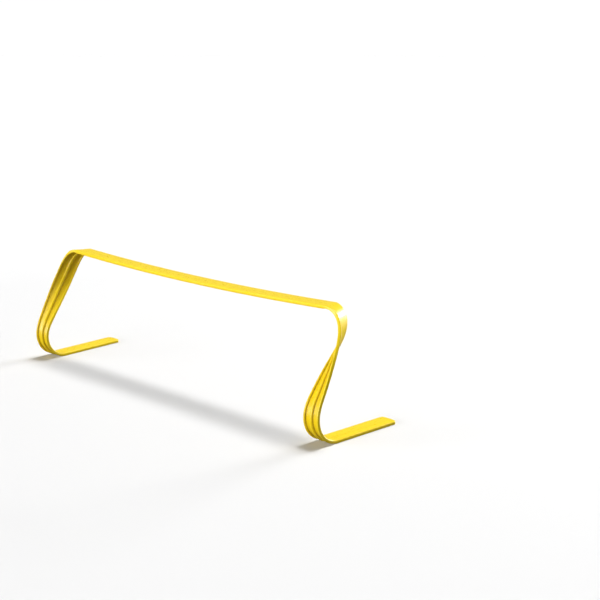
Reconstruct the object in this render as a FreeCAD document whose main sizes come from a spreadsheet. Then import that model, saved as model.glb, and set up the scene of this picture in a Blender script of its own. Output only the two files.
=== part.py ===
import FreeCAD, Part
import Sketcher
import math
import os

from FreeCAD import Placement, Rotation, Vector

# Low agility hurdle: one springy extruded plastic strip, bent into a crossbar on two legs.
# +X runs along the crossbar, +Y points along the feet (to the back), +Z is up.
# The origin is on the floor, at the centre of the hurdle's outline.
#
# The strip has one smooth face and, on its other face, three ribs with two channels between
# them. Going from the crossbar to a foot it bends down at the shoulder, twists a quarter turn
# along the leg and bends back at the ankle, so the ribs face the floor under bar and foot.
# The strip is divided where it flexes, so that each flexing place can be a joint.

DIMENSIONS = [
    ("strip_width", "24.3"),         # across the strip, rib edge to rib edge
    ("strip_depth", "4.4"),          # smooth face to rib tips
    ("web_depth", "1.7"),            # wall that carries the ribs
    ("edge_rib_width", "2.4"),       # each of the two ribs along the strip's edges
    ("middle_rib_width", "3.6"),
    ("hurdle_height", "152.4"),      # floor to the highest point of the smooth face
    ("bar_half_length", "235"),      # middle of the crossbar to the start of a shoulder
    ("bar_sag", "5.3"),              # how much lower the middle of the crossbar is
    ("bow_hinge_x", "90"),           # where the crossbar is divided
    ("shoulder_radius", "24.1"),     # tightest radius, at the start of the bend; it opens out
    ("shoulder_fade", "83"),         # length over which the shoulder bend fades away
    ("twist_power", "1.44"),         # above 1 the strip twists faster near the shoulder
    ("shoulder_share", "0.29"),      # share of the leg's length that is the shoulder piece
    ("leg_divide", "0.60"),          # share of the leg's length above the twist joint
    ("ankle_radius", "28.6"),        # of the smooth face, which is inside this bend
    ("ankle_onset", "32"),           # length over which the ankle bend begins
    ("foot_length", "98"),           # straight part of a foot
    ("toe_out", "2.4"),              # degrees by which each foot's tip points outwards
    ("toe_radius", "3.8"),           # rounded corners of the foot's cut end
]

SECTION_SPACING = 6.0                # along a twisted piece
LEG_STEPS = 150                      # steps used to follow the strip down the leg
SOLVER_ROUNDS = 12
SOLVER_NUDGE = 1e-5

doc = FreeCAD.newDocument("agility_hurdle")
sheet = doc.addObject("Spreadsheet::Sheet", "Params")
for row, (alias, value) in enumerate(DIMENSIONS, start=1):
    sheet.set("A%d" % row, alias)
    sheet.set("B%d" % row, value)
    sheet.setAlias("B%d" % row, alias)
doc.recompute()


def size(alias):
    """A driving dimension, read from the sheet."""
    return float(sheet.get(alias))


# ---------------------------------------------------------------- the strip's centre line
#
# The centre line runs along the middle of the smooth face. The strip is stiff edge to edge, so
# it only bends across its thin direction and twists about its own length. The leg is followed
# step by step from those two rates.

def bar_radius():
    """Radius of the crossbar's shallow sag."""
    half, sag = size("bar_half_length"), size("bar_sag")
    return (half * half + sag * sag) / (2 * sag)


def bar_slope():
    """Slope of the crossbar where a shoulder starts, in radians."""
    return math.asin(size("bar_half_length") / bar_radius())


def follow_leg(lead_angle, twist_angle, length):
    """Stations (share, point, direction, smooth side) down the right leg.

    The strip first bends through lead_angle at the shoulder's tightest radius, untwisted. Then,
    over length, the shoulder bend fades, the strip twists through twist_angle and the ankle
    bend begins. The crossbar's centre line is at y = 0 here.
    """
    tight = size("shoulder_radius")
    slope = bar_slope()
    top = Vector(size("bar_half_length") + tight * math.sin(slope), 0,
                 size("hurdle_height") - tight)
    smooth_side = Vector(math.sin(lead_angle), 0, math.cos(lead_angle))
    direction = Vector(math.cos(lead_angle), 0, -math.sin(lead_angle))
    point = top + smooth_side * tight
    stations = [(0.0, point, direction, smooth_side)]
    step = length / LEG_STEPS
    power = size("twist_power")
    for i in range(LEG_STEPS):
        share = (i + 0.5) / LEG_STEPS
        travelled = share * length
        to_go = length - travelled
        bend = 0.0
        if travelled < size("shoulder_fade"):
            bend -= (1 + math.cos(math.pi * travelled / size("shoulder_fade"))) / (2 * tight)
        if to_go < size("ankle_onset"):
            rise = (1 + math.cos(math.pi * to_go / size("ankle_onset"))) / 2
            bend += rise / size("ankle_radius")
        twist = twist_angle * power * (1 - share) ** (power - 1) / length
        across = direction.cross(smooth_side)
        turn_axis = across * bend - direction * twist
        turn = Rotation(turn_axis, math.degrees(turn_axis.Length * step))
        next_direction = turn.multVec(direction)
        point = point + (direction + next_direction) * (step / 2)
        direction = next_direction
        smooth_side = turn.multVec(smooth_side)
        stations.append(((i + 1) / LEG_STEPS, point, direction, smooth_side))
    return stations


def foot_direction():
    """The way the right foot points, seen from above."""
    angle = math.radians(size("toe_out"))
    return Vector(math.sin(angle), math.cos(angle), 0)


def foot_errors(values):
    """How far the leg's end is from meeting a level foot that stands on the floor."""
    lead_angle, twist_angle, length = values
    _, point, direction, smooth_side = follow_leg(lead_angle, twist_angle, length * 100)[-1]
    across = direction.cross(smooth_side)
    radius = size("ankle_radius")
    height = point.z + radius * smooth_side.z - radius - size("strip_depth")
    return [across.y + foot_direction().x, across.z, height / 50]


def solve_leg():
    """Lead angle, twist angle and length that bring the foot level and to the floor.

    Newton's method, with the three slopes of each error taken by a small nudge.
    """
    values = [0.0, 1.8, 1.5]
    for _ in range(SOLVER_ROUNDS):
        errors = foot_errors(values)
        rows = [[], [], []]
        for k in range(3):
            nudged = list(values)
            nudged[k] += SOLVER_NUDGE
            for row, (new, old) in enumerate(zip(foot_errors(nudged), errors)):
                rows[row].append((new - old) / SOLVER_NUDGE)
        slopes = [Vector(*row) for row in rows]
        scale = slopes[0].dot(slopes[1].cross(slopes[2]))
        step = (slopes[1].cross(slopes[2]) * errors[0] + slopes[2].cross(slopes[0]) * errors[1]
                + slopes[0].cross(slopes[1]) * errors[2]) * (1 / scale)
        values = [values[0] - step.x, values[1] - step.y, values[2] - step.z]
    lead_angle, twist_angle, length = values
    return lead_angle, twist_angle, length * 100


class Strip:
    """Where the right half of the strip runs, with the outline centred on the origin."""

    def __init__(self):
        self.lead_angle, self.twist_angle, self.leg_length = solve_leg()
        stations = follow_leg(self.lead_angle, self.twist_angle, self.leg_length)
        _, end, _, smooth_side = stations[-1]
        ankle = end + smooth_side * size("ankle_radius")
        front = min(self.front_of(station) for station in stations)
        corner = size("strip_width") / 2 - size("toe_radius")
        reach = size("foot_length") - size("toe_radius")
        forward = foot_direction()
        back = ankle.y + reach * forward.y + corner * forward.x + size("toe_radius")
        shift = Vector(0, -(front + back) / 2, 0)
        self.stations = [(share, point + shift, direction, side)
                         for share, point, direction, side in stations]
        self.ankle_centre = ankle + shift
        self.ankle_start = math.atan2(smooth_side.z, smooth_side.dot(forward))
        self.bar_y = shift.y
        tight = size("shoulder_radius")
        self.shoulder_centre = Vector(size("bar_half_length") + tight * math.sin(bar_slope()),
                                      self.bar_y, size("hurdle_height") - tight)
        reach = (tight + bar_radius()) * math.cos(bar_slope())
        self.bar_centre = Vector(0, self.bar_y, self.shoulder_centre.z + reach)

    @staticmethod
    def front_of(station):
        """Lowest y of the strip's section at a station."""
        _, point, direction, side = station
        across = direction.cross(side)
        return point.y - abs(across.y) * size("strip_width") / 2 - side.y * size("strip_depth")

    def at(self, share):
        """Point, direction and smooth side at a share of the leg's length.

        Shares below zero are on the untwisted start of the shoulder bend.
        """
        if share < 0:
            angle = self.lead_angle + share * self.leg_length / size("shoulder_radius")
            side = Vector(math.sin(angle), 0, math.cos(angle))
            direction = Vector(math.cos(angle), 0, -math.sin(angle))
            return self.shoulder_centre + side * size("shoulder_radius"), direction, side
        place = share * LEG_STEPS
        index = min(int(place), LEG_STEPS - 1)
        mix = place - index
        before, after = self.stations[index], self.stations[index + 1]
        point, direction, side = [before[k] + (after[k] - before[k]) * mix for k in (1, 2, 3)]
        return point, direction.normalize(), side.normalize()

    def shoulder_start(self):
        """Share, just below zero, at which the shoulder meets the crossbar."""
        lead_length = (self.lead_angle + bar_slope()) * size("shoulder_radius")
        return -lead_length / self.leg_length


# ---------------------------------------------------------------- sketches and features

def origin_plane(body, role):
    """One of the body's own origin planes."""
    return next(item for item in body.Origin.OriginFeatures if item.Role == role)


def new_body(name):
    body = doc.addObject("PartDesign::Body", name)
    body.Label = name
    return body


def new_sketch(body, name, plane, offset=None):
    sketch = body.newObject("Sketcher::SketchObject", name)
    sketch.AttachmentSupport = [(origin_plane(body, plane), "")]
    sketch.MapMode = "FlatFace"
    if offset is not None:
        sketch.AttachmentOffset = offset
    return sketch


def draw_strip_section(sketch, smooth_level):
    """The ribbed section, its smooth face up at the sketch height given as an expression."""
    across = ["-Params.strip_width / 2",
              "-Params.strip_width / 2 + Params.edge_rib_width",
              "-Params.middle_rib_width / 2",
              "Params.middle_rib_width / 2",
              "Params.strip_width / 2 - Params.edge_rib_width",
              "Params.strip_width / 2"]
    top = smooth_level
    web = "%s - Params.web_depth" % smooth_level
    tip = "%s - Params.strip_depth" % smooth_level
    corners = [(0, top), (0, tip), (1, tip), (1, web), (2, web), (2, tip),
               (3, tip), (3, web), (4, web), (4, tip), (5, tip), (5, top)]
    evaluate = sketch.evalExpression
    points = [Vector(float(evaluate(across[column])), float(evaluate(level)), 0)
              for column, level in corners]
    count = len(points)
    for i in range(count):
        sketch.addGeometry(Part.LineSegment(points[i], points[(i + 1) % count]), False)
    for i in range(count):
        sketch.addConstraint(Sketcher.Constraint("Coincident", i, 2, (i + 1) % count, 1))
    for i in range(count):
        column, level = corners[i]
        upright = corners[(i + 1) % count][0] == column
        if upright:
            sketch.addConstraint(Sketcher.Constraint("Vertical", i))
            kind, place, rule = "DistanceX", points[i].x, across[column]
        else:
            sketch.addConstraint(Sketcher.Constraint("Horizontal", i))
            kind, place, rule = "DistanceY", points[i].y, level
        number = sketch.addConstraint(Sketcher.Constraint(kind, -1, 1, i, 1, place))
        sketch.setExpression("Constraints[%d]" % number, rule)


def add_bend(name, plane, smooth_level, angle, turn_reversed=False, both_ways=False):
    """A bend of the strip about its body's own X or Y axis, which is the section's H axis."""
    body = new_body(name)
    sketch = new_sketch(body, name + "_section", plane)
    draw_strip_section(sketch, smooth_level)
    bend = body.newObject("PartDesign::Revolution", name + "_bend")
    bend.Profile = sketch
    bend.ReferenceAxis = (sketch, ["H_Axis"])
    bend.setExpression("Angle", angle)
    bend.Reversed = turn_reversed
    bend.Midplane = both_ways
    sketch.Visibility = False
    return body


def add_twisted_piece(name, strip, first, last, side):
    """A stretch of the leg, lofted through sections square to its centre line."""
    body = new_body(name)
    count = max(2, math.ceil((last - first) * strip.leg_length / SECTION_SPACING)) + 1
    sketches = []
    for i in range(count):
        share = first + (last - first) * i / (count - 1)
        point, direction, smooth_side = [Vector(v) for v in strip.at(share)]
        for vector in (point, direction, smooth_side):
            vector.x *= side
        turn = Rotation(smooth_side.cross(direction), smooth_side, direction, "ZYX")
        sketch = new_sketch(body, "%s_section_%d" % (name, i), "XY_Plane", Placement(point, turn))
        draw_strip_section(sketch, "0 * Params.strip_depth")
        sketches.append(sketch)
    loft = body.newObject("PartDesign::AdditiveLoft", name + "_loft")
    loft.Profile = sketches[0]
    loft.Sections = sketches[1:]
    loft.Ruled = False
    return body


def add_foot(name):
    """The straight foot, ribs down, with the two corners of its cut end rounded."""
    body = new_body(name)
    sketch = new_sketch(body, name + "_section", "XZ_Plane")
    draw_strip_section(sketch, "1 * Params.strip_depth")
    pad = body.newObject("PartDesign::Pad", name + "_pad")
    pad.Profile = sketch
    pad.setExpression("Length", "Params.foot_length")
    pad.Reversed = True
    doc.recompute()
    half, length = size("strip_width") / 2, size("foot_length")
    corners = []
    for number, edge in enumerate(pad.Shape.Edges, start=1):
        middle = edge.CenterOfMass
        if abs(abs(middle.x) - half) < 0.01 and abs(middle.y - length) < 0.01:
            corners.append("Edge%d" % number)
    toe = body.newObject("PartDesign::Fillet", name + "_toe")
    toe.Base = (pad, corners)
    toe.setExpression("Radius", "Params.toe_radius")
    return body


# ---------------------------------------------------------------- the hurdle

SIDES = (("left", -1), ("right", 1))


def build():
    """All pieces, from the middle of the crossbar outwards."""
    strip = Strip()
    sag_level = "-%.6f" % bar_radius()
    hinge_angle = math.asin(size("bow_hinge_x") / bar_radius())
    hinge_rule = "asin(Params.bow_hinge_x / %.6f)" % bar_radius()
    end_rule = "asin(Params.bar_half_length / %.6f)" % bar_radius()
    middle = add_bend("crossbar_middle", "YZ_Plane", sag_level, "2 * " + hinge_rule,
                      both_ways=True)
    middle.Placement = Placement(strip.bar_centre, Rotation())
    pieces = [middle]

    for word, side in SIDES:
        bar_end = add_bend(word + "_crossbar_end", "YZ_Plane", sag_level,
                           end_rule + " - " + hinge_rule, turn_reversed=True)
        half_turn = Rotation(Vector(0, 0, 1), 0 if side > 0 else 180)
        tilt = Rotation(Vector(0, 1, 0), -math.degrees(hinge_angle))
        bar_end.Placement = Placement(strip.bar_centre, half_turn * tilt)

        shoulder = add_twisted_piece(word + "_shoulder", strip, strip.shoulder_start(),
                                     size("shoulder_share"), side)
        upper = add_twisted_piece(word + "_upper_leg", strip, size("shoulder_share"),
                                  size("leg_divide"), side)
        lower = add_twisted_piece(word + "_lower_leg", strip, size("leg_divide"), 1.0, side)

        centre = Vector(strip.ankle_centre)
        centre.x *= side
        ankle = add_bend(word + "_ankle", "XZ_Plane", "-Params.ankle_radius",
                         "%.6f deg" % (90 - math.degrees(strip.ankle_start)),
                         turn_reversed=True)
        toe_turn = Rotation(Vector(0, 0, 1), -side * size("toe_out"))
        ankle.Placement = Placement(centre, toe_turn)

        foot = add_foot(word + "_foot")
        foot.Placement = Placement(Vector(centre.x, centre.y, 0), toe_turn)
        pieces += [bar_end, shoulder, upper, lower, ankle, foot]
    return pieces


def export(pieces):
    """Every piece is checked before any file is written."""
    doc.recompute()
    for item in doc.Objects:
        if "Invalid" in item.State or "Error" in item.State:
            raise RuntimeError("%s failed to compute: %s" % (item.Name, item.State))
    for piece in pieces:
        if piece.Shape.isNull() or not piece.Shape.isValid():
            raise RuntimeError("%s has no valid shape" % piece.Label)
    os.makedirs("parts", exist_ok=True)
    for piece in pieces:
        piece.Shape.exportStep("parts/%s.step" % piece.Label)
        box = piece.Shape.BoundBox
        print("%-20s %9.1f mm3   x %7.2f %7.2f   y %7.2f %7.2f   z %7.2f %7.2f" % (
            piece.Label, piece.Shape.Volume, box.XMin, box.XMax, box.YMin, box.YMax,
            box.ZMin, box.ZMax))


export(build())
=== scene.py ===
import math

import bpy
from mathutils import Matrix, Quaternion, Vector


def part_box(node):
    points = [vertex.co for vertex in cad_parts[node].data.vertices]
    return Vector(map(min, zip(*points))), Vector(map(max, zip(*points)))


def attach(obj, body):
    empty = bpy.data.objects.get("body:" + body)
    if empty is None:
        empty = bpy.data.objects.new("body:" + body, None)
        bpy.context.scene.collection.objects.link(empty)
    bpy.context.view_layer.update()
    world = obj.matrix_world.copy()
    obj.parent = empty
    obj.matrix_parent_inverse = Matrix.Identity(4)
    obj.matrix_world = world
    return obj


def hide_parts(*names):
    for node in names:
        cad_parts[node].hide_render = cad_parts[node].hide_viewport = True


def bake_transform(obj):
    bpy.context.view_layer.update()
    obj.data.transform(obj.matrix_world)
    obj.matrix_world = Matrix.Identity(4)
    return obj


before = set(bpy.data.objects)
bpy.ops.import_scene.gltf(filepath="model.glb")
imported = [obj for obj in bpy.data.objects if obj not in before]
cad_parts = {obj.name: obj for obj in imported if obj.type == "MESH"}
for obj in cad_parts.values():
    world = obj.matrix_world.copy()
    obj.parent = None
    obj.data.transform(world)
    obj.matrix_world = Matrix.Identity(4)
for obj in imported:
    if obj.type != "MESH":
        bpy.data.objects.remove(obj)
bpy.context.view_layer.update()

# Low agility hurdle: one ribbed plastic strip, bent and twisted. Metres, in the row frame.
# The strip is drawn in pieces that meet where it stays straight or rigid. Each piece but the
# foot is drawn smoothly over one joint's bend, and only the foot is attached to a body.

MM = 0.001
CM_PER_M = 100

# The strip's section and path, as the CAD model has them.
STRIP_WIDTH = 24.3 * MM
STRIP_DEPTH = 4.4 * MM
WEB_DEPTH = 1.7 * MM
EDGE_RIB_WIDTH = 2.4 * MM
MIDDLE_RIB_WIDTH = 3.6 * MM
HURDLE_HEIGHT = 152.4 * MM
BAR_HALF_LENGTH = 235 * MM
BAR_SAG = 5.3 * MM
SHOULDER_RADIUS = 24.1 * MM
SHOULDER_FADE = 83 * MM
TWIST_POWER = 1.44
ANKLE_RADIUS = 28.6 * MM
ANKLE_ONSET = 32 * MM
FOOT_LENGTH = 98 * MM
TOE_OUT = math.radians(2.4)
FOOT_DIRECTION = Vector((math.sin(TOE_OUT), math.cos(TOE_OUT), 0))
TOE_RADIUS = 3.8 * MM

# Rounding that the extruding die leaves on the section.
EDGE_ROUND = 1.2 * MM                # smooth face to the strip's sides
EDGE_RIB_ROUND = 0.95 * MM           # tips of the ribs
MIDDLE_RIB_ROUND = 1.4 * MM
CHANNEL_ROUND = 0.8 * MM             # floor of each channel to its walls
CROWN = 0.3 * MM                     # the smooth face is this much lower at its sides
CROWN_FADE = 3 * MM                  # below the smooth face, the sides are square again
CUT_ROUND = 0.5 * MM                 # edge of a foot's cut end
CUT_SHARE = 0.98                     # share of that edge drawn, so that the end stays clean
TOE_REACH = 5 * MM                   # a foot's corners are drawn in from here outwards
SUPPORT = 0.2 * MM                   # a flat side starts this far from its rounded corner
FLOOR_SHADE_AND_GRIME = 0.2                     # painted shade and grime on a channel's floor, against 1 at the foot of its walls

# How finely each curve is drawn.
ARC_STEPS = 5                        # a rounded corner of the section
FACE_STEPS = 12                      # across the crowned smooth face
TOE_STEPS = 8                        # a foot's rounded corner
CUT_STEPS = 4                        # the rounded edge of its cut end
LEG_STEPS = 150                      # down a leg

# The leg is solved from a guess of its lead angle, twist angle and length. The length is in
# tenths of a metre and the foot's height in twentieths, so that all the values are near 1.
LENGTH_UNIT = 0.1
HEIGHT_UNIT = 0.05
FIRST_GUESS = (0.0, 1.8, 1.5)
SOLVER_ROUNDS = 12
SOLVER_NUDGE = 1e-5


# ---------------------------------------------------------------- the strip's centre line

def bar_radius():
    """Radius of the sagging crossbar's smooth face."""
    return (BAR_HALF_LENGTH ** 2 + BAR_SAG ** 2) / (2 * BAR_SAG)


def bar_slope():
    """Angle at which the crossbar rises into the shoulder."""
    return math.asin(BAR_HALF_LENGTH / bar_radius())


def shoulder_centre(y):
    """Centre of the right shoulder's bend."""
    return Vector((BAR_HALF_LENGTH + SHOULDER_RADIUS * math.sin(bar_slope()), y,
                   HURDLE_HEIGHT - SHOULDER_RADIUS))


def follow_leg(lead_angle, twist_angle, length):
    """Stations (point, direction, smooth side) down the right leg, which bends across the
    strip's thin direction and twists. The crossbar is at y = 0 here."""
    side = Vector((math.sin(lead_angle), 0, math.cos(lead_angle)))
    direction = Vector((math.cos(lead_angle), 0, -math.sin(lead_angle)))
    point = shoulder_centre(0) + side * SHOULDER_RADIUS
    stations = [(point, direction, side)]
    step = length / LEG_STEPS
    for i in range(LEG_STEPS):
        share = (i + 0.5) / LEG_STEPS         # the middle of this step
        travelled, to_go = share * length, (1 - share) * length
        bend = 0.0
        if travelled < SHOULDER_FADE:
            bend -= (1 + math.cos(math.pi * travelled / SHOULDER_FADE)) / (2 * SHOULDER_RADIUS)
        if to_go < ANKLE_ONSET:
            bend += (1 + math.cos(math.pi * to_go / ANKLE_ONSET)) / (2 * ANKLE_RADIUS)
        twist = twist_angle * TWIST_POWER * (1 - share) ** (TWIST_POWER - 1) / length
        turn_axis = direction.cross(side) * bend - direction * twist
        turn = Quaternion(turn_axis, turn_axis.length * step)
        ahead = turn @ direction
        point = point + (direction + ahead) * (step / 2)
        direction, side = ahead, turn @ side
        stations.append((point, direction, side))
    return stations


def foot_errors(values):
    """How far the leg's end is from meeting a level foot that stands on the floor."""
    point, direction, side = follow_leg(values[0], values[1], values[2] * LENGTH_UNIT)[-1]
    across = direction.cross(side)
    height = point.z + ANKLE_RADIUS * side.z - ANKLE_RADIUS - STRIP_DEPTH
    return Vector((across.y + FOOT_DIRECTION.x, across.z, height / HEIGHT_UNIT))


def solve_leg():
    """Lead angle, twist angle and leg length that put the foot level on the floor."""
    values = Vector(FIRST_GUESS)
    for _ in range(SOLVER_ROUNDS):
        errors = foot_errors(values)
        columns = []
        for k in range(3):
            nudged = values.copy()
            nudged[k] += SOLVER_NUDGE
            columns.append((foot_errors(nudged) - errors) / SOLVER_NUDGE)
        scale = columns[0].dot(columns[1].cross(columns[2]))
        values = values - Vector((errors.dot(columns[1].cross(columns[2])),
                                  columns[0].dot(errors.cross(columns[2])),
                                  columns[0].dot(columns[1].cross(errors)))) / scale
    return values[0], values[1], values[2] * LENGTH_UNIT


class Strip:
    """The right half of the strip, by distance along its smooth face from x = 0."""

    def __init__(self):
        lead, twist, self.leg = solve_leg()
        stations = follow_leg(lead, twist, self.leg)
        low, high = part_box("crossbar_middle")
        self.bar_y = (low[1] + high[1]) / 2
        self.slope = bar_slope()
        self.bar = self.slope * bar_radius()
        self.leg_start = self.bar + (self.slope + lead) * SHOULDER_RADIUS
        shift = Vector((0, self.bar_y, 0))
        self.stations = [(point + shift, direction, up) for point, direction, up in stations]
        end, _, side = self.stations[-1]
        self.ankle = end + side * ANKLE_RADIUS
        self.ankle_start = math.atan2(side.z, side.dot(FOOT_DIRECTION))
        self.leg_end = self.leg_start + self.leg
        self.foot_start = self.leg_end + (math.pi / 2 - self.ankle_start) * ANKLE_RADIUS
        self.length = self.foot_start + FOOT_LENGTH

    def at(self, s):
        """Point, direction and smooth side at distance s."""
        if s <= self.bar:
            angle = s / bar_radius()
            centre = HURDLE_HEIGHT - SHOULDER_RADIUS
            centre += (SHOULDER_RADIUS + bar_radius()) * math.cos(self.slope)
            point = Vector((bar_radius() * math.sin(angle), self.bar_y,
                            centre - bar_radius() * math.cos(angle)))
            return (point, Vector((math.cos(angle), 0, math.sin(angle))),
                    Vector((-math.sin(angle), 0, math.cos(angle))))
        if s <= self.leg_start:
            angle = (s - self.bar) / SHOULDER_RADIUS - self.slope
            side = Vector((math.sin(angle), 0, math.cos(angle)))
            return (shoulder_centre(self.bar_y) + side * SHOULDER_RADIUS,
                    Vector((math.cos(angle), 0, -math.sin(angle))), side)
        if s <= self.leg_end:
            place = (s - self.leg_start) / self.leg * LEG_STEPS
            index = min(int(place), LEG_STEPS - 1)
            before, after = self.stations[index], self.stations[index + 1]
            point, direction, side = [a.lerp(b, place - index) for a, b in zip(before, after)]
            return point, direction.normalized(), side.normalized()
        if s <= self.foot_start:
            angle = self.ankle_start + (s - self.leg_end) / ANKLE_RADIUS
            up = Vector((0, 0, 1))
            side = FOOT_DIRECTION * math.cos(angle) + up * math.sin(angle)
            return (self.ankle - side * ANKLE_RADIUS,
                    FOOT_DIRECTION * math.sin(angle) - up * math.cos(angle), side)
        heel = self.ankle - Vector((0, 0, ANKLE_RADIUS))
        return (heel + FOOT_DIRECTION * (s - self.foot_start), FOOT_DIRECTION,
                Vector((0, 0, 1)))


# ---------------------------------------------------------------- the strip's section

def rounded_section(inset=0.0):
    """The ribbed outline as (across, depth, edge wear, painted channel shade and grime) points,
    drawn in by inset.

    It starts at the left end of the smooth face and goes round clockwise.
    """
    half = STRIP_WIDTH / 2 - inset
    top, web, tip = -inset, -WEB_DEPTH + inset, -STRIP_DEPTH + inset
    outer = half - EDGE_RIB_WIDTH + 2 * inset
    mid = MIDDLE_RIB_WIDTH / 2 - inset
    corners = [(-half, top, EDGE_ROUND), (half, top, EDGE_ROUND),
               (half, tip, EDGE_RIB_ROUND), (outer, tip, EDGE_RIB_ROUND),
               (outer, web, CHANNEL_ROUND), (mid, web, CHANNEL_ROUND),
               (mid, tip, MIDDLE_RIB_ROUND), (-mid, tip, MIDDLE_RIB_ROUND),
               (-mid, web, CHANNEL_ROUND), (-outer, web, CHANNEL_ROUND),
               (-outer, tip, EDGE_RIB_ROUND), (-half, tip, EDGE_RIB_ROUND)]
    count = len(corners)
    outline = []
    for i in range(count):
        x, z, radius = corners[i]
        here = Vector((x, z))
        back = (Vector(corners[i - 1][:2]) - here).normalized()
        ahead = (Vector(corners[(i + 1) % count][:2]) - here).normalized()
        centre = here + (back + ahead) * radius
        hollow = z == web
        # the foot of a channel's wall gets the most painted shade and grime, its floor a little
        shade_and_grime_back = hollow * (FLOOR_SHADE_AND_GRIME if corners[i - 1][1] == web else 1.0)
        shade_and_grime_ahead = hollow * (FLOOR_SHADE_AND_GRIME if corners[(i + 1) % count][1] == web else 1.0)
        outline.append((here + back * (radius + SUPPORT), 0.0, shade_and_grime_back))
        for k in range(ARC_STEPS + 1):
            a = math.pi / 2 * k / ARC_STEPS
            p = centre - ahead * radius * math.cos(a) - back * radius * math.sin(a)
            shade_and_grime = shade_and_grime_back + (shade_and_grime_ahead - shade_and_grime_back) * k / ARC_STEPS
            outline.append((p, 0.0 if hollow else 1.0, shade_and_grime))
        outline.append((here + ahead * (radius + SUPPORT), 0.0, shade_and_grime_ahead))
    # the wide smooth face has points between, so that its crown is round
    face = []
    left, right = outline[ARC_STEPS + 2][0], outline[ARC_STEPS + 3][0]
    for k in range(1, FACE_STEPS):
        face.append((left.lerp(right, k / FACE_STEPS), 0.0, 0.0))
    outline[ARC_STEPS + 3:ARC_STEPS + 3] = face
    result = []
    for p, wear, shade_and_grime in outline:
        depth = p.y - CROWN * (p.x / half) ** 2 * max(0.0, 1 + p.y / CROWN_FADE)
        result.append((p.x, depth, wear, shade_and_grime))
    return result


def toe_half_width(to_go):
    """Half the foot's width at a distance from its cut end, for the rounded corners."""
    into = max(0.0, TOE_RADIUS - to_go)
    return STRIP_WIDTH / 2 - TOE_RADIUS + math.sqrt(max(0.0, TOE_RADIUS ** 2 - into ** 2))


def cut_inset(to_go):
    """How far the section is drawn in at a distance from the foot's cut end."""
    if to_go >= CUT_ROUND:
        return 0.0
    rise = math.sqrt(max(0.0, CUT_ROUND ** 2 - (CUT_ROUND - to_go) ** 2))
    return (CUT_ROUND - rise) * CUT_SHARE


def spaced(start, end, spacing):
    """Even distances from start to end, at most spacing apart."""
    count = max(1, math.ceil((end - start) / spacing))
    return [start + (end - start) * i / count for i in range(count + 1)]


def strip_piece(name, strip, distances, side, material):
    """A closed stretch of the strip through the given distances; side is 1 right, -1 left."""
    profile = rounded_section()
    vertices, wear_values, shade_and_grime_values, rows = [], [], [], []
    for s in distances:
        point, direction, up = strip.at(s)
        across = up.cross(direction)          # towards +y on the crossbar
        to_go = strip.length - s
        inset = cut_inset(to_go)
        ring = rounded_section(inset) if inset else profile
        half = STRIP_WIDTH / 2 - inset
        limit = toe_half_width(to_go) - inset
        rows.append(len(vertices))
        for u, depth, wear, channel in ring:
            if abs(u) > TOE_REACH and limit < half:
                share = (abs(u) - TOE_REACH) / (half - TOE_REACH)
                u = math.copysign(TOE_REACH + share * (limit - TOE_REACH), u)
            place = point + across * u + up * depth
            vertices.append((place.x * side, place.y, place.z))
            wear_values.append(wear)
            shade_and_grime_values.append(channel)
    n = len(profile)
    faces = []
    for a, b in zip(rows, rows[1:]):
        for j in range(n):
            k = (j + 1) % n
            faces.append((a + j, b + j, b + k, a + k))
    faces.append(tuple(rows[0] + j for j in range(n)))
    faces.append(tuple(rows[-1] + j for j in reversed(range(n))))
    if side < 0:
        faces = [tuple(reversed(face)) for face in faces]
    mesh = bpy.data.meshes.new(name)
    mesh.from_pydata(vertices, [], faces)
    mesh.materials.append(material)
    for polygon in mesh.polygons:
        polygon.use_smooth = polygon.index < len(faces) - 2
    for label, values in (("wear", wear_values), ("channel", shade_and_grime_values)):
        mesh.attributes.new(label, "FLOAT", "POINT").data.foreach_set("value", values)
    # the map runs round and along the strip, so that the grain follows the bends
    around = [0.0]
    for j in range(n):
        k = (j + 1) % n
        around.append(around[-1] + math.dist(profile[j][:2], profile[k][:2]))
    layer = mesh.uv_layers.new(name="strip")
    values = []
    for polygon in mesh.polygons:
        for vertex in polygon.vertices:
            row, j = divmod(vertex, n)
            at_start = polygon.index < len(faces) - 2 and j == 0
            wraps = at_start and any(v % n == n - 1 for v in polygon.vertices)
            u = around[n] if wraps else around[j]
            values += [u * CM_PER_M, distances[row] * CM_PER_M * side]
    layer.data.foreach_set("uv", values)
    mesh.validate()
    caps = {tuple(sorted(key)) for polygon in list(mesh.polygons)[-2:]
            for key in polygon.edge_keys}
    for edge in mesh.edges:
        edge.use_edge_sharp = tuple(sorted(edge.vertices)) in caps
    mesh.update()
    piece = bpy.data.objects.new(name, mesh)
    bpy.context.collection.objects.link(piece)
    return piece


# ---------------------------------------------------------------- plastic

DEEP_YELLOW = (0.88, 0.605, 0.006, 1)
# the paler yellow below is partly painted highlight, laid in bands along the strip
PALE_TONE_AND_HIGHLIGHT_YELLOW = (0.94, 0.725, 0.010, 1)
# the brown below is painted shade in the channels, with a little grime
SHADE_AND_GRIME_BROWN = (0.36, 0.20, 0.008, 1)
WORN_YELLOW = (0.97, 0.74, 0.08, 1)
SHADE_AND_GRIME_STRENGTH = 1.5
WORN_ROUGHNESS = 0.25                # added where an edge is rubbed most
PLASTIC_IOR = 1.53
PLASTIC_SPECULAR = 0.4


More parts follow.
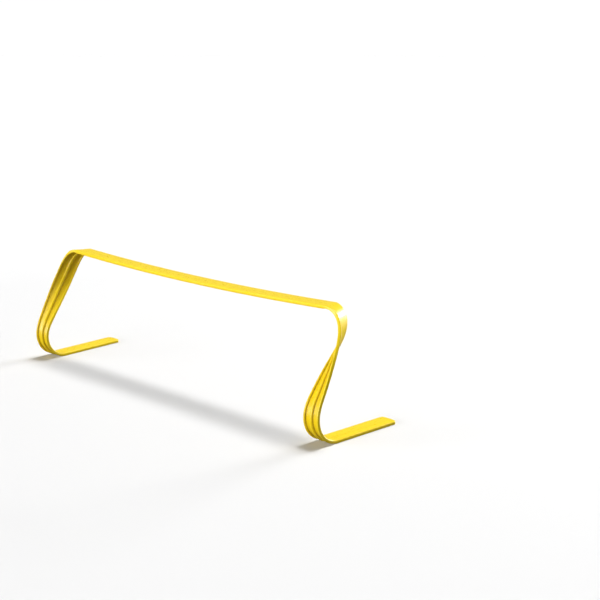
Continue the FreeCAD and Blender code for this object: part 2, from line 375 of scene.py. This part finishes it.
def plastic_material():
    """Bright yellow extruded plastic: satin gloss, fine die lines, scuffed edges.

    A pattern's stretch is its scale round the strip and along it, per centimetre.
    """
    material = bpy.data.materials.new("yellow_plastic_detail")
    material.use_nodes = True
    nodes, links = material.node_tree.nodes, material.node_tree.links
    nodes.clear()

    def add(kind, **settings):
        node = nodes.new(kind)
        for key, value in settings.items():
            if key in node.inputs:
                node.inputs[key].default_value = value
            else:
                setattr(node, key, value)
        return node

    strip_uv = add("ShaderNodeUVMap", uv_map="strip")

    def noise(stretch, **settings):
        mapping = add("ShaderNodeMapping", Scale=(*stretch, 1.0))
        pattern = add("ShaderNodeTexNoise", **settings)
        links.new(strip_uv.outputs["UV"], mapping.inputs["Vector"])
        links.new(mapping.outputs["Vector"], pattern.inputs["Vector"])
        return pattern.outputs["Fac"]

    def ranged(value, low, high, to_low, to_high):
        node = add("ShaderNodeMapRange", **{"From Min": low, "From Max": high,
                                            "To Min": to_low, "To Max": to_high})
        links.new(value, node.inputs["Value"])
        return node.outputs["Result"]

    def product(value, other):
        """value times other, which is a number or another output."""
        node = add("ShaderNodeMath", operation="MULTIPLY")
        links.new(value, node.inputs[0])
        if isinstance(other, float):
            node.inputs[1].default_value = other
        else:
            links.new(other, node.inputs[1])
        return node.outputs["Value"]

    def mixed(factor, base, colour):
        """colour laid over base, which is a colour or another output."""
        node = add("ShaderNodeMix", data_type="RGBA")
        node.inputs["B"].default_value = colour
        if isinstance(base, tuple):
            node.inputs["A"].default_value = base
        else:
            links.new(base, node.inputs["A"])
        links.new(factor, node.inputs["Factor"])
        return node.outputs["Result"]

    def bump(height, strength, distance, under=None):
        node = add("ShaderNodeBump", Strength=strength, Distance=distance)
        links.new(height, node.inputs["Height"])
        if under is not None:
            links.new(under, node.inputs["Normal"])
        return node.outputs["Normal"]

    # faint paler bands along the strip: partly the plastic's own tone, partly painted highlight
    tone_and_highlight_streaks = noise((2.6, 0.08), Scale=0.9, Detail=3.0)
    colour = mixed(tone_and_highlight_streaks, DEEP_YELLOW, PALE_TONE_AND_HIGHLIGHT_YELLOW)

    # channels are painted darker, most at the foot of their walls: painted shade, with a little
    # grime in patches
    channel = add("ShaderNodeAttribute", attribute_name="channel").outputs["Fac"]
    patchy_shade_and_grime = product(channel, noise((1.0, 1.0), Scale=3.0, Detail=4.0))
    colour = mixed(product(patchy_shade_and_grime, SHADE_AND_GRIME_STRENGTH), colour, SHADE_AND_GRIME_BROWN)

    # rounded edges are rubbed a little paler in patches
    wear = add("ShaderNodeAttribute", attribute_name="wear").outputs["Fac"]
    patches = ranged(noise((1.0, 0.6), Scale=2.2, Detail=5.0), 0.48, 0.72, 0.0, 0.5)
    rubbed = product(wear, patches)
    colour = mixed(rubbed, colour, WORN_YELLOW)

    # die lines run along the strip, with a fine grain over them
    die_lines = bump(noise((34.0, 0.12), Scale=1.0, Detail=2.0), 0.2, 0.04 * MM)
    grain = bump(noise((1.0, 1.0), Scale=55.0, Detail=3.0), 0.1, 0.01 * MM, die_lines)

    scratches = noise((9.0, 1.1), Scale=1.0, Detail=3.0, Distortion=0.4)
    rough = add("ShaderNodeMath", operation="MULTIPLY_ADD")
    rough.inputs[1].default_value = WORN_ROUGHNESS
    links.new(rubbed, rough.inputs[0])
    links.new(ranged(scratches, 0.35, 0.70, 0.27, 0.35), rough.inputs[2])

    shader = add("ShaderNodeBsdfPrincipled",
                 **{"IOR": PLASTIC_IOR, "Specular IOR Level": PLASTIC_SPECULAR})
    links.new(colour, shader.inputs["Base Color"])
    links.new(rough.outputs["Value"], shader.inputs["Roughness"])
    links.new(grain, shader.inputs["Normal"])
    output = add("ShaderNodeOutputMaterial")
    links.new(shader.outputs["BSDF"], output.inputs["Surface"])
    return material


# ---------------------------------------------------------------- the hurdle

# Where one drawn piece ends and the next begins, as distances along the strip. Each lies where
# the strip stays straight or rigid.
strip = Strip()
BAR_END = strip.bar - 6 * MM
SHOULDER_END = strip.leg_start + 0.40 * strip.leg
LEG_END = strip.leg_start + 0.80 * strip.leg
ANKLE_END = strip.foot_start + 12 * MM

# Where each piece would turn from one body to the next: the crossbar between these distances
# from its middle, the shoulder and the leg over their length but for these margins, the ankle
# over its whole length. They are listed with each piece below, but no piece is blended by them.
BOW_START, BOW_END = 20 * MM, 190 * MM
BAR_MARGIN = 1 * MM
LEG_MARGIN = 3 * MM

BAR_SPACING = 4 * MM
BEND_SPACING = 1.2 * MM
FOOT_SPACING = 3 * MM


def mirrored(point, side):
    return (point.x * side, point.y, point.z)


def build_half(word, side, material):
    """The pieces of one half: four drawn over the crossbar, shoulder, leg and ankle, and the
    straight foot, which alone is attached to a body.
    """
    ankle_rows = (spaced(LEG_END, strip.foot_start, BEND_SPACING)
                  + spaced(strip.foot_start, ANKLE_END, FOOT_SPACING)[1:])
    # name, distances drawn, body before and after, start and end of the turn, nodes replaced
    pieces = [
        ("_bar", spaced(0, BAR_END, BAR_SPACING), "crossbar", word + "_bar_end",
         BOW_START, BOW_END, ["crossbar_middle", word + "_crossbar_end"]),
        ("_shoulder_bend", spaced(BAR_END, SHOULDER_END, BEND_SPACING),
         word + "_bar_end", word + "_upper_leg",
         BAR_END + BAR_MARGIN, SHOULDER_END - LEG_MARGIN, [word + "_shoulder"]),
        ("_leg", spaced(SHOULDER_END, LEG_END, BEND_SPACING),
         word + "_upper_leg", word + "_lower_leg",
         SHOULDER_END + LEG_MARGIN, LEG_END - LEG_MARGIN,
         [word + "_upper_leg", word + "_lower_leg"]),
        ("_ankle_bend", ankle_rows, word + "_lower_leg", word + "_foot",
         LEG_END, ANKLE_END, [word + "_ankle"]),
    ]
    for name, distances, before, after, start, end, nodes in pieces:
        piece = strip_piece(word + name, strip, distances, side, material)
        mirrored(strip.at(start)[0], side)
        mirrored(strip.at(end)[0], side)
        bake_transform(piece)
        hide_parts(*nodes)

    toe = strip.length
    corner = [toe - TOE_RADIUS * (1 - math.sin(math.pi / 2 * k / TOE_STEPS))
              for k in range(1, TOE_STEPS + 1)]
    cut = [toe - CUT_ROUND * (1 - math.sin(math.pi / 2 * k / CUT_STEPS))
           for k in range(CUT_STEPS + 1)]
    straight = spaced(ANKLE_END, toe - TOE_RADIUS, FOOT_SPACING)
    distances = sorted(set(round(s, 9) for s in straight + corner + cut))
    foot = strip_piece(word + "_foot_blade", strip, distances, side, material)
    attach(foot, word + "_foot")
    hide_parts(word + "_foot")


plastic = plastic_material()
for word, side in (("left", -1), ("right", 1)):
    build_half(word, side, plastic)


# ---------------------------------------------------------------- floor, light and camera

FLOOR_REACH = 12.0
NEAR_FLOOR, FAR_FLOOR = 0.74, 0.92   # how pale the floor is under the hurdle and far away
NEAR_RADIUS, FAR_RADIUS = 0.7, 2.2   # it changes between these distances from the middle
FLOOR_ROUGHNESS = 0.9
FLOOR_SPECULAR = 0.1

BACKDROP_REACH = 11.5
BACKDROP_HEIGHT = 9.0
BACKDROP_FOOT = -0.02                # below the floor, so that no gap shows
BACKDROP_SIDES = 48

WORLD_STRENGTH = 0.10

CAMERA_YAW = 0.772                   # radians; the view looks between +Y and -X
CAMERA_PITCH = 0.230
CAMERA_DISTANCE = 1.853
CAMERA_AIM = (-0.0762, 0.2654, 0.060)
SENSOR_WIDTH = 36                    # millimetres
FOCAL_RATIO = 2.0796                 # focal length over the picture's width


def studio_floor():
    """A pale floor. It is whiter far away, so that no grey horizon shows."""
    mesh = bpy.data.meshes.new("floor")
    reach = FLOOR_REACH
    mesh.from_pydata([(-reach, -reach, 0), (reach, -reach, 0), (reach, reach, 0),
                      (-reach, reach, 0)], [], [(0, 1, 2, 3)])
    material = bpy.data.materials.new("pale_floor")
    material.use_nodes = True
    nodes, links = material.node_tree.nodes, material.node_tree.links
    shader = nodes["Principled BSDF"]
    place = nodes.new("ShaderNodeTexCoord")
    away = nodes.new("ShaderNodeVectorMath")
    away.operation = "LENGTH"
    fade = nodes.new("ShaderNodeMapRange")
    fade.inputs["From Min"].default_value = NEAR_RADIUS
    fade.inputs["From Max"].default_value = FAR_RADIUS
    fade.inputs["To Min"].default_value = NEAR_FLOOR
    fade.inputs["To Max"].default_value = FAR_FLOOR
    links.new(place.outputs["Object"], away.inputs[0])
    links.new(away.outputs["Value"], fade.inputs["Value"])
    links.new(fade.outputs["Result"], shader.inputs["Base Color"])
    shader.inputs["Roughness"].default_value = FLOOR_ROUGHNESS
    shader.inputs["Specular IOR Level"].default_value = FLOOR_SPECULAR
    mesh.materials.append(material)
    floor = bpy.data.objects.new("floor", mesh)
    bpy.context.collection.objects.link(floor)
    floor.visible_diffuse = False        # its bounced light would fill the shaded sides
    floor.visible_glossy = False


def backdrop():
    """A white surround that only the camera sees."""
    mesh = bpy.data.meshes.new("backdrop")
    sides = BACKDROP_SIDES
    turns = [2 * math.pi * k / sides for k in range(sides)]
    points = [(BACKDROP_REACH * math.cos(turn), BACKDROP_REACH * math.sin(turn), z)
              for z in (BACKDROP_FOOT, BACKDROP_HEIGHT) for turn in turns]
    faces = [(k, (k + 1) % sides, sides + (k + 1) % sides, sides + k) for k in range(sides)]
    faces.append(tuple(range(sides, 2 * sides)))
    mesh.from_pydata(points, [], faces)
    material = bpy.data.materials.new("white_backdrop")
    material.use_nodes = True
    shader = material.node_tree.nodes["Principled BSDF"]
    shader.inputs["Base Color"].default_value = (0, 0, 0, 1)
    shader.inputs["Emission Color"].default_value = (1, 1, 1, 1)
    shader.inputs["Emission Strength"].default_value = 1.0
    mesh.materials.append(material)
    surround = bpy.data.objects.new("backdrop", mesh)
    surround.visible_diffuse = False
    surround.visible_glossy = False
    surround.visible_shadow = False
    bpy.context.collection.objects.link(surround)


def add_lamp(name, data, place, aim):
    lamp = bpy.data.objects.new(name, data)
    lamp.location = place
    lamp.rotation_mode = "QUATERNION"
    lamp.rotation_quaternion = (Vector(aim) - Vector(place)).to_track_quat("-Z", "Y")
    lamp.visible_camera = False
    bpy.context.collection.objects.link(lamp)


def broad_light(name, from_direction, strength, spread_deg, shadow=True):
    """A soft light so large and far that it is even over the whole floor."""
    data = bpy.data.lights.new(name, "SUN")
    data.energy = strength
    data.angle = math.radians(spread_deg)
    data.use_shadow = shadow
    add_lamp(name, data, from_direction, (0, 0, 0))


def softbox(name, place, aim, size, power):
    """A rectangular panel of light."""
    data = bpy.data.lights.new(name, "AREA")
    data.shape = "RECTANGLE"
    data.size, data.size_y = size
    data.energy = power
    add_lamp(name, data, place, aim)


def studio_light():
    """Light from above for the soft shadow, and from low in front and behind for the legs."""
    world = bpy.data.worlds.new("studio")
    bpy.context.scene.world = world
    world.use_nodes = True
    background = world.node_tree.nodes["Background"]
    background.inputs["Color"].default_value = (1.0, 1.0, 1.0, 1)
    background.inputs["Strength"].default_value = WORLD_STRENGTH
    # direction that each comes from, strength, spread in degrees
    broad_light("overhead", (0, 0.38, 1), 2.75, 19)
    broad_light("front_left", (-0.50, -0.85, 0.15), 2.5, 35)
    broad_light("front", (0.05, -0.98, 0.12), 1.9, 30)
    broad_light("back_right", (0.35, 0.93, 0.06), 2.0, 30, shadow=False)
    # place, what each points at, width and height, watts: these two give the highlights
    softbox("horizon_panel", (-2.0, 2.1, 0.80), (0, 0, 0.12), (2.6, 1.0), 1.3)
    softbox("back_panel", (0.30, 2.2, 0.72), (0.27, 0, 0.14), (0.9, 0.5), 28)


def add_camera():
    data = bpy.data.cameras.new("camera")
    data.sensor_width = SENSOR_WIDTH
    data.lens = SENSOR_WIDTH * FOCAL_RATIO
    camera = bpy.data.objects.new("camera", data)
    forward = Vector((-math.sin(CAMERA_YAW) * math.cos(CAMERA_PITCH),
                      math.cos(CAMERA_YAW) * math.cos(CAMERA_PITCH),
                      -math.sin(CAMERA_PITCH)))
    camera.location = Vector(CAMERA_AIM) - forward * CAMERA_DISTANCE
    camera.rotation_mode = "QUATERNION"
    camera.rotation_quaternion = forward.to_track_quat("-Z", "Y")
    bpy.context.collection.objects.link(camera)
    bpy.context.scene.camera = camera


studio_floor()
backdrop()
studio_light()
add_camera()
bpy.context.scene.view_settings.view_transform = "Standard"
